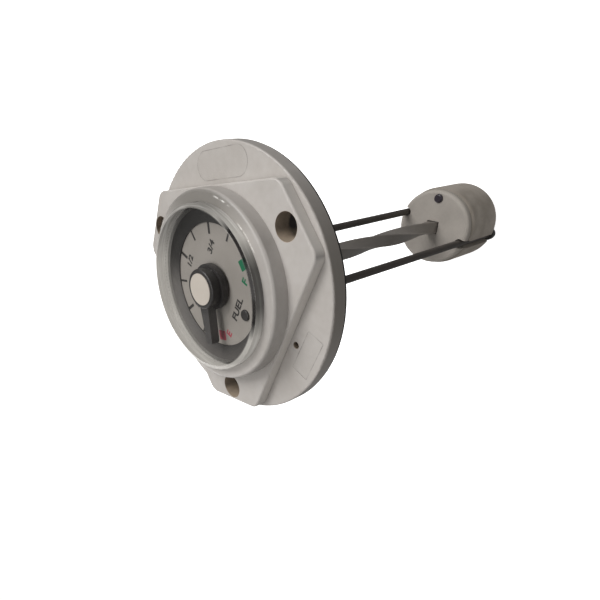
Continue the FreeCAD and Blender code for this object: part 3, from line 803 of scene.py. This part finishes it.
@dataclass(frozen=True)
class BarPlastic:
    """Dark bar with faint lines that follow its twist and paler corners."""

    name: str = "bar_dark"
    colour: Colour = tone(98, 93, 88)
    pale: Colour = tone(150, 144, 137)
    half: float = 2.35 * MM
    lines: Noise = Noise(1400.0, 3.0, 0.6)
    stretch: tuple[float, float, float] = (1.0, 1.0, 0.12)
    cloud: Noise = Noise(180.0)

    def build(self) -> bpy.types.Material:
        """Build the material."""
        surface = Surface(self.name)
        drawn = surface.noise(self.lines, surface.stretched(self.stretch))
        cloud = surface.noise(self.cloud)
        corner = surface.radius().ramp(self.half * 1.27, self.half * 1.40)
        paling = (drawn * 0.35 + cloud * 0.25 + corner * 0.45).clipped()
        return surface.close(Base_Color=surface.blend(paling, self.colour, self.pale),
                             Roughness=0.3 + drawn * 0.14, Specular_IOR_Level=0.8,
                             Normal=surface.relief(drawn, 0.02 * MM, 0.5))


class Ink(Enum):
    """Printing inks of the dial."""

    BLACK = tone(30, 28, 28)
    RED = tone(152, 56, 72)
    GREEN = tone(8, 94, 63)

    def finish(self) -> Moulded:
        """The ink as it looks when it is dry."""
        return Moulded("ink_" + self.name.lower(), self.value, depth=0.002 * MM, swing=0.1)


@dataclass
class Workshop:
    """Shared stock of finished materials, and the ways to dress or add a piece."""

    stock: dict[str, bpy.types.Material] = field(default_factory=dict)

    def finish(self, recipe: Finish) -> bpy.types.Material:
        """Build a finish once and hand it out again when asked."""
        if recipe.name not in self.stock:
            self.stock[recipe.name] = recipe.build()
        return self.stock[recipe.name]

    def dress(self, node: str, recipe: Finish) -> None:
        """Give a CAD node one finish in all its slots."""
        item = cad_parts[node]
        material = self.finish(recipe)
        if not item.data.materials:
            item.data.materials.append(material)
        for index in range(len(item.data.materials)):
            item.data.materials[index] = material
        log.info("dressed %s in %s", node, recipe.name)

    def add(self, name: str, mesh: bpy.types.Mesh, recipe: Finish, body: str, slot: str
            ) -> None:
        """Put a mesh into the scene as a piece of the gauge.

        Args:
            name: The piece's name.
            mesh: Its mesh, in place.
            recipe: Its finish.
            body: The CAD body it rides on.
            slot: The record's material slot; not used.
        """
        item = placed(name, mesh)
        mesh.materials.clear()
        mesh.materials.append(self.finish(recipe))
        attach(item, body)
        log.info("built %s", name)


class NodeShape(Tree):
    """A Geometry Nodes tree that is built, run once and frozen into a mesh."""

    SOCKETS: Mapping[type, str] = {float: "NodeSocketFloat", int: "NodeSocketInt",
                                   bpy.types.Material: "NodeSocketMaterial"}

    def __init__(self, name: str, inputs: Mapping[str, Any]) -> None:
        """Start a tree with named inputs.

        Args:
            name: The name of the tree and of its mesh.
            inputs: Input names with their values.
        """
        super().__init__(bpy.data.node_groups.new(name, "GeometryNodeTree"))
        self.name = name
        self.values = dict(inputs)
        self.tree.interface.new_socket("Geometry", in_out="OUTPUT",
                                       socket_type="NodeSocketGeometry")
        self.keys = {key: self.tree.interface.new_socket(
            key, in_out="INPUT", socket_type=self.SOCKETS[type(value)]).identifier
            for key, value in self.values.items()}
        self.inlet = self.node("NodeGroupInput")
        self.outlet = self.node("NodeGroupOutput")

    def given(self, key: str) -> bpy.types.NodeSocket:
        """Socket of a named input."""
        return self.inlet.outputs[key]

    def number(self, key: str) -> Wire:
        """Named input as a number that takes part in sums."""
        return Wire(self.tree, self.given(key))

    def frozen(self, geometry: bpy.types.NodeSocket) -> bpy.types.Mesh:
        """Run the tree and return its result as a plain mesh.

        Args:
            geometry: The last geometry socket before realizing.

        Returns:
            The mesh, with its material set.
        """
        real = self.node("GeometryNodeRealizeInstances", {}, {"Geometry": geometry})
        done = self.node("GeometryNodeSetMaterial", {}, {
            "Geometry": real.outputs[0], "Material": self.given("Material")})
        self.tree.links.new(done.outputs[0], self.outlet.inputs[0])
        carrier = placed(self.name, bpy.data.meshes.new(self.name + "_seed"))
        modifier = carrier.modifiers.new(self.name, "NODES")
        modifier.node_group = self.tree
        for key, value in self.values.items():
            modifier[self.keys[key]] = value
        graph = bpy.context.evaluated_depsgraph_get()
        mesh = bpy.data.meshes.new_from_object(carrier.evaluated_get(graph))
        carrier.modifiers.remove(modifier)
        bpy.data.objects.remove(carrier)
        mesh.name = self.name
        return mesh


@dataclass(frozen=True)
class Word:
    """Printed word with its full width and height and the place of its middle."""

    text: str
    wide: float
    tall: float
    x: float
    y: float
    thick: float = 0.02 * MM
    bold: float = 0.085 * MM

    def mesh(self, level: float) -> bpy.types.Mesh:
        """Lay the word flat.

        Args:
            level: Height of the face that it is printed on.

        Returns:
            The word's mesh in place.
        """
        curve = bpy.data.curves.new(self.text, "FONT")
        curve.body, curve.size = self.text, self.tall
        curve.extrude, curve.offset = self.thick / 2, self.bold
        item = placed(self.text, curve)
        graph = bpy.context.evaluated_depsgraph_get()
        mesh = bpy.data.meshes.new_from_object(item.evaluated_get(graph))
        bpy.data.objects.remove(item)
        spans = [(min(across), max(across)) for across in (
            [v.co[axis] for v in mesh.vertices] for axis in range(2))]
        scale = [want / (high - low) for want, (low, high)
                 in zip((self.wide, self.tall), spans)]
        middle = [(low + high) / 2 for low, high in spans]
        mesh.transform(Matrix.Translation((self.x, self.y, level))
                       @ Matrix.Diagonal((*scale, 1.0, 1.0))
                       @ Matrix.Translation((-middle[0], -middle[1], 0)))
        return mesh


@dataclass
class Head:
    """White head with its gasket, bearing plate and the funnel round the dial."""

    shop: Workshop
    plastic: HeadPlastic = HeadPlastic()
    films: tuple[Film, ...] = (
        Film("label_oval", 30.0, 34.6 * MM, -2.1 * MM, (11.6 * MM, 4.3 * MM), 4.29 * MM),
        Film("label_strip", -90.0, 35.8 * MM, 0.0, (6.9 * MM, 2.9 * MM), 0.4 * MM))

    def build(self) -> None:
        """Dress the head's pieces and lay the two bare labels on the flange."""
        for node, finish in (("head_moulding", self.plastic), ("gasket", RUBBER),
                             ("lens_seal", RUBBER), ("bezel_ring", Funnel()),
                             ("bearing_plate", INNER_GREY), ("lens", ClearCap())):
            self.shop.dress(node, finish)
        for film in self.films:
            self.shop.add(film.name, film.mesh(self.plastic.flange_top), film, "head",
                          "lens_clear")


@dataclass
class Dial:
    """Silver dial with its scale, coloured end blocks and plain lettering."""

    shop: Workshop
    marks: int = 7
    first: float = 180.0
    step: float = -30.0
    rim: float = 18.95 * MM
    tick: float = 3.4 * MM
    thin: float = 0.72 * MM
    thick: float = 0.98 * MM
    block_reach: float = 15.9 * MM
    block: tuple[float, float] = (3.1 * MM, 3.2 * MM)
    block_corner: float = 0.12 * MM
    print_height: float = 0.02 * MM
    words: tuple[Word, ...] = (
        Word("FUEL", 8.1 * MM, 2.4 * MM, -0.5 * MM, -11.4 * MM),
        Word("1/2", 3.9 * MM, 2.3 * MM, 0.2 * MM, 13.9 * MM),
        Word("3/4", 4.4 * MM, 2.4 * MM, 10.3 * MM, 5.9 * MM),
        Word("1/4", 4.4 * MM, 2.4 * MM, -10.3 * MM, 5.9 * MM))
    ends: tuple[tuple[Ink, float, Word], ...] = (
        (Ink.RED, 213.0, Word("E", 1.65 * MM, 2.4 * MM, -10.5 * MM, -11.1 * MM)),
        (Ink.GREEN, -33.0, Word("F", 1.65 * MM, 2.4 * MM, 9.2 * MM, -11.1 * MM)))
    peg: Moulded = Moulded("peg_black", tone(40, 38, 38), gloss=0.45)

    def level(self) -> float:
        """Height of the dial's face."""
        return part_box("dial_plate")[1][2]

    def scale(self) -> bpy.types.Mesh:
        """Ticks between the end blocks, every second one thicker."""
        shape = NodeShape("dial_scale", {
            "Count": self.marks, "First": math.radians(self.first),
            "Step": math.radians(self.step), "Radius": self.rim - self.tick / 2,
            "Length": self.tick, "Thin": self.thin, "Thick": self.thick,
            "Height": 2 * self.print_height, "Level": self.level(),
            "Material": self.shop.finish(Ink.BLACK.finish())})
        index = Wire(shape.tree, shape.node("GeometryNodeInputIndex").outputs[0])
        angle = shape.number("First") + index * shape.number("Step")
        points = shape.node("GeometryNodePoints", {}, {
            "Count": shape.given("Count"), "Position": shape.across(
                X=angle.math("COSINE") * shape.number("Radius"),
                Y=angle.math("SINE") * shape.number("Radius"), Z=shape.given("Level"))})
        stroke = shape.node("GeometryNodeMeshCube", {}, {"Size": shape.across(
            X=shape.given("Length"), Y=shape.given("Thin"), Z=shape.given("Height"))})
        odd = index.math("MODULO", 2.0)
        wide = 1 + odd * (shape.number("Thick") / shape.number("Thin") - 1)
        spread = shape.node("GeometryNodeInstanceOnPoints", {}, {
            "Points": points.outputs[0], "Instance": stroke.outputs[0],
            "Rotation": shape.across(Z=angle), "Scale": shape.across(X=1.0, Y=wide, Z=1.0)})
        return shape.frozen(spread.outputs[0])

    def end_block(self, angle: float) -> bpy.types.Mesh:
        """Block at one end of the scale, in a direction from the axis."""
        work = bmesh.new()
        bmesh.ops.create_cube(work, size=1.0, matrix=Matrix.Diagonal(
            (*self.block, 2 * self.print_height, 1.0)))
        upright = [edge for edge in work.edges
                   if abs(edge.verts[0].co.z - edge.verts[1].co.z) > self.print_height]
        bmesh.ops.bevel(work, geom=upright, offset=self.block_corner, segments=2,
                        affect="EDGES")
        turn = Matrix.Rotation(math.radians(angle), 4, "Z")
        shift = Matrix.Translation((self.block_reach, 0, self.level()))
        bmesh.ops.transform(work, matrix=turn @ shift, verts=work.verts)
        return meshed(work, "end_block")

    def build(self) -> None:
        """Dress the plate and its peg, and print the dial."""
        self.shop.dress("dial_plate", DialFinish())
        self.shop.dress("dial_peg", self.peg)
        prints = [("dial_scale", Ink.BLACK, self.scale()),
                  ("dial_numbers", Ink.BLACK, joined("dial_numbers", [
                      word.mesh(self.level()) for word in self.words]))]
        for ink, angle, letter in self.ends:
            name = "dial_" + ink.name.lower()
            prints.append((name, ink, joined(name, [self.end_block(angle),
                                                    letter.mesh(self.level())])))
        for name, ink, mesh in prints:
            self.shop.add(name, mesh, ink.finish(), "head", "dial_black")


@dataclass
class Needle:
    """Pointer with its pale cap, spindle and magnet."""

    shop: Workshop
    # Painted shade: the zone darkens the pointer's hub, which is the same plastic as its arm.
    grey: Moulded = Moulded("pointer_grey", tone(48, 46, 45), gloss=0.42, grain=6000.0,
                            depth=0.006 * MM, zone=(8.2 * MM, 7.0 * MM),
                            zone_colour=tone(34, 32, 32))
    cream: Moulded = Moulded("cap_cream", tone(184, 176, 166), gloss=0.4, grain=5000.0,
                             depth=0.006 * MM, swing=0.06)

    def build(self) -> None:
        """Dress the pointer's pieces."""
        for node, finish in (("pointer", self.grey), ("pointer_cap", self.cream),
                             ("pointer_spindle", STEEL), ("pointer_magnet", MAGNET)):
            self.shop.dress(node, finish)


@dataclass
class Drive:
    """Twisted bar with its magnet cup and pivot."""

    shop: Workshop

    def build(self) -> None:
        """Dress the bar and what it carries."""
        for node, finish in (("twisted_bar", BarPlastic()), ("bar_pivot", STEEL),
                             ("magnet_cup", INNER_GREY), ("drive_magnet", MAGNET)):
            self.shop.dress(node, finish)


@dataclass
class Hanger:
    """Guide rods, the end bar across them and the clips on their ends."""

    shop: Workshop
    black: Moulded = Moulded("rod_black", tone(70, 65, 61), gloss=0.42, grain=3000.0,
                             depth=0.02 * MM, swing=0.24, metal=0.3,
                             stretch=(1.0, 1.0, 0.06))
    dark: Moulded = Moulded("end_dark", tone(52, 49, 47))
    clip: Moulded = Moulded("clip_steel", tone(120, 118, 116), gloss=0.35, metal=1.0)

    def build(self) -> None:
        """Dress the hanging frame."""
        for node, finish in (("guide_rod_lower", self.black),
                             ("guide_rod_upper", self.black),
                             ("end_bar", self.dark), ("rod_clips", self.clip)):
            self.shop.dress(node, finish)


@dataclass
class Buoy:
    """Foam float with its stiff lid and plug."""

    shop: Workshop
    # Painted light: the zone lightens the lid's rounded edge.
    lid: Moulded = Moulded("lid_grey", tone(157, 151, 144), gloss=0.6, grain=2500.0,
                           depth=0.03 * MM, swing=0.1, zone=(14.6 * MM, 15.5 * MM),
                           zone_colour=tone(168, 162, 154))
    plug: Moulded = Moulded("plug_dark", tone(48, 43, 50), gloss=0.25, grain=3000.0)

    def build(self) -> None:
        """Dress the float."""
        foam = Foam(top=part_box("float_body")[1][2])
        for node, finish in (("float_body", foam), ("float_lid", self.lid),
                             ("float_plug", self.plug)):
            self.shop.dress(node, finish)


@dataclass(frozen=True)
class Lamp:
    """Square soft light that hangs at one point and faces another."""

    name: str
    at: tuple[float, float, float]
    aim: tuple[float, float, float]
    side: float
    power: float
    colour: Colour = (1.0, 0.99, 0.98)

    def hang(self) -> None:
        """Hang it in the scene."""
        light = bpy.data.lights.new(self.name, "AREA")
        light.size, light.energy, light.color = self.side, self.power, self.colour
        item = placed(self.name, light)
        item.location = self.at
        way = Vector(self.aim) - Vector(self.at)
        item.rotation_euler = way.to_track_quat("-Z", "Y").to_euler()


@dataclass
class Studio:
    """Pale floor, soft lights and the camera, where the picture was taken."""

    camera_at: Vector = Vector((82.92, -85.30, 93.96)) * MM
    look: Vector = Vector((-0.6559, 0.5208, -0.5463))
    up: Vector = Vector((0.7277, 0.6285, -0.2746))
    focal_pixels: float = 473.05
    centre: tuple[float, float] = (215.16, 338.33)
    picture: float = 600.0
    sensor: float = 36.0
    clip_start: float = 5.0 * MM
    floor_gap: float = 0.2 * MM
    floor_half: float = 40.0
    floor_tones: tuple[Colour, Colour] = ((0.9, 0.9, 0.9), (0.93, 0.93, 0.93))
    floor_glow: float = 0.86
    floor_cloud: Noise = Noise(3.0, 2.0)
    sky_colour: Colour = (1.0, 0.99, 0.975)
    sky_light: float = 0.22
    lamps: tuple[Lamp, ...] = (
        Lamp("key", (0.50, 0.45, 0.80), (0, 0, -0.05), 0.6, 9.5),
        Lamp("front", (0.0, -0.1, 1.10), (0, 0, -0.05), 0.6, 3.8),
        Lamp("side", (0.25, -0.80, 0.25), (0, 0, 0), 0.5, 0.85),
        Lamp("rear", (-0.80, 0.35, 0.10), (0, 0, -0.05), 0.5, 1.8))

    def floor(self) -> None:
        """Lay a wide pale floor under the gauge."""
        work = bmesh.new()
        bmesh.ops.create_grid(work, x_segments=1, y_segments=1, size=self.floor_half)
        mesh = meshed(work, "floor")
        mesh.transform(Matrix.Translation((0, 0, CAD_BOX[0][2] - self.floor_gap)))
        item = placed("floor", mesh)
        surface = Surface("floor_pale")
        cloud = surface.noise(self.floor_cloud).ramp(0.3, 0.7)
        mesh.materials.append(surface.close(
            Base_Color=surface.blend(cloud, *self.floor_tones), Roughness=0.9,
            Emission_Color=(1.0, 1.0, 1.0), Emission_Strength=self.floor_glow))
        item.visible_diffuse = False
        item.visible_glossy = False

    def camera(self) -> None:
        """Stand the camera where the picture was taken."""
        data = bpy.data.cameras.new("camera")
        data.sensor_width = self.sensor
        data.lens = self.focal_pixels * self.sensor / self.picture
        data.shift_x = (self.picture / 2 - self.centre[0]) / self.picture
        data.shift_y = (self.centre[1] - self.picture / 2) / self.picture
        data.clip_start = self.clip_start
        back = -self.look.normalized()
        up = (self.up - self.up.dot(back) * back).normalized()
        item = placed("camera", data)
        item.matrix_world = Matrix.Translation(self.camera_at) @ Matrix(
            (up.cross(back), up, back)).transposed().to_4x4()
        bpy.context.scene.camera = item

    def sky(self) -> None:
        """Even pale surroundings: white behind the gauge, dimmer as a light."""
        world = bpy.data.worlds.new("surroundings")
        world.use_nodes = True
        tree = Tree(world.node_tree)
        shade = world.node_tree.nodes["Background"]
        shade.inputs["Color"].default_value = (*self.sky_colour, 1.0)
        seen = Wire(tree.tree, tree.node("ShaderNodeLightPath").outputs["Is Camera Ray"])
        strength = seen * (1.0 - self.sky_light) + self.sky_light
        tree.tree.links.new(strength.socket, shade.inputs["Strength"])
        bpy.context.scene.world = world

    def build(self) -> None:
        """Set up the studio."""
        bpy.context.scene.view_settings.view_transform = "Standard"
        self.floor()
        self.sky()
        for lamp in self.lamps:
            lamp.hang()
        self.camera()


def main() -> None:
    """Build the gauge, piece by piece, and set up the studio."""
    logging.basicConfig(level=logging.INFO, format="%(name)s %(message)s")
    shop = Workshop()
    for part in (Head(shop), Dial(shop), Needle(shop), Drive(shop), Hanger(shop),
                 Buoy(shop), Studio()):
        part.build()


if __name__ == "__main__":
    main()
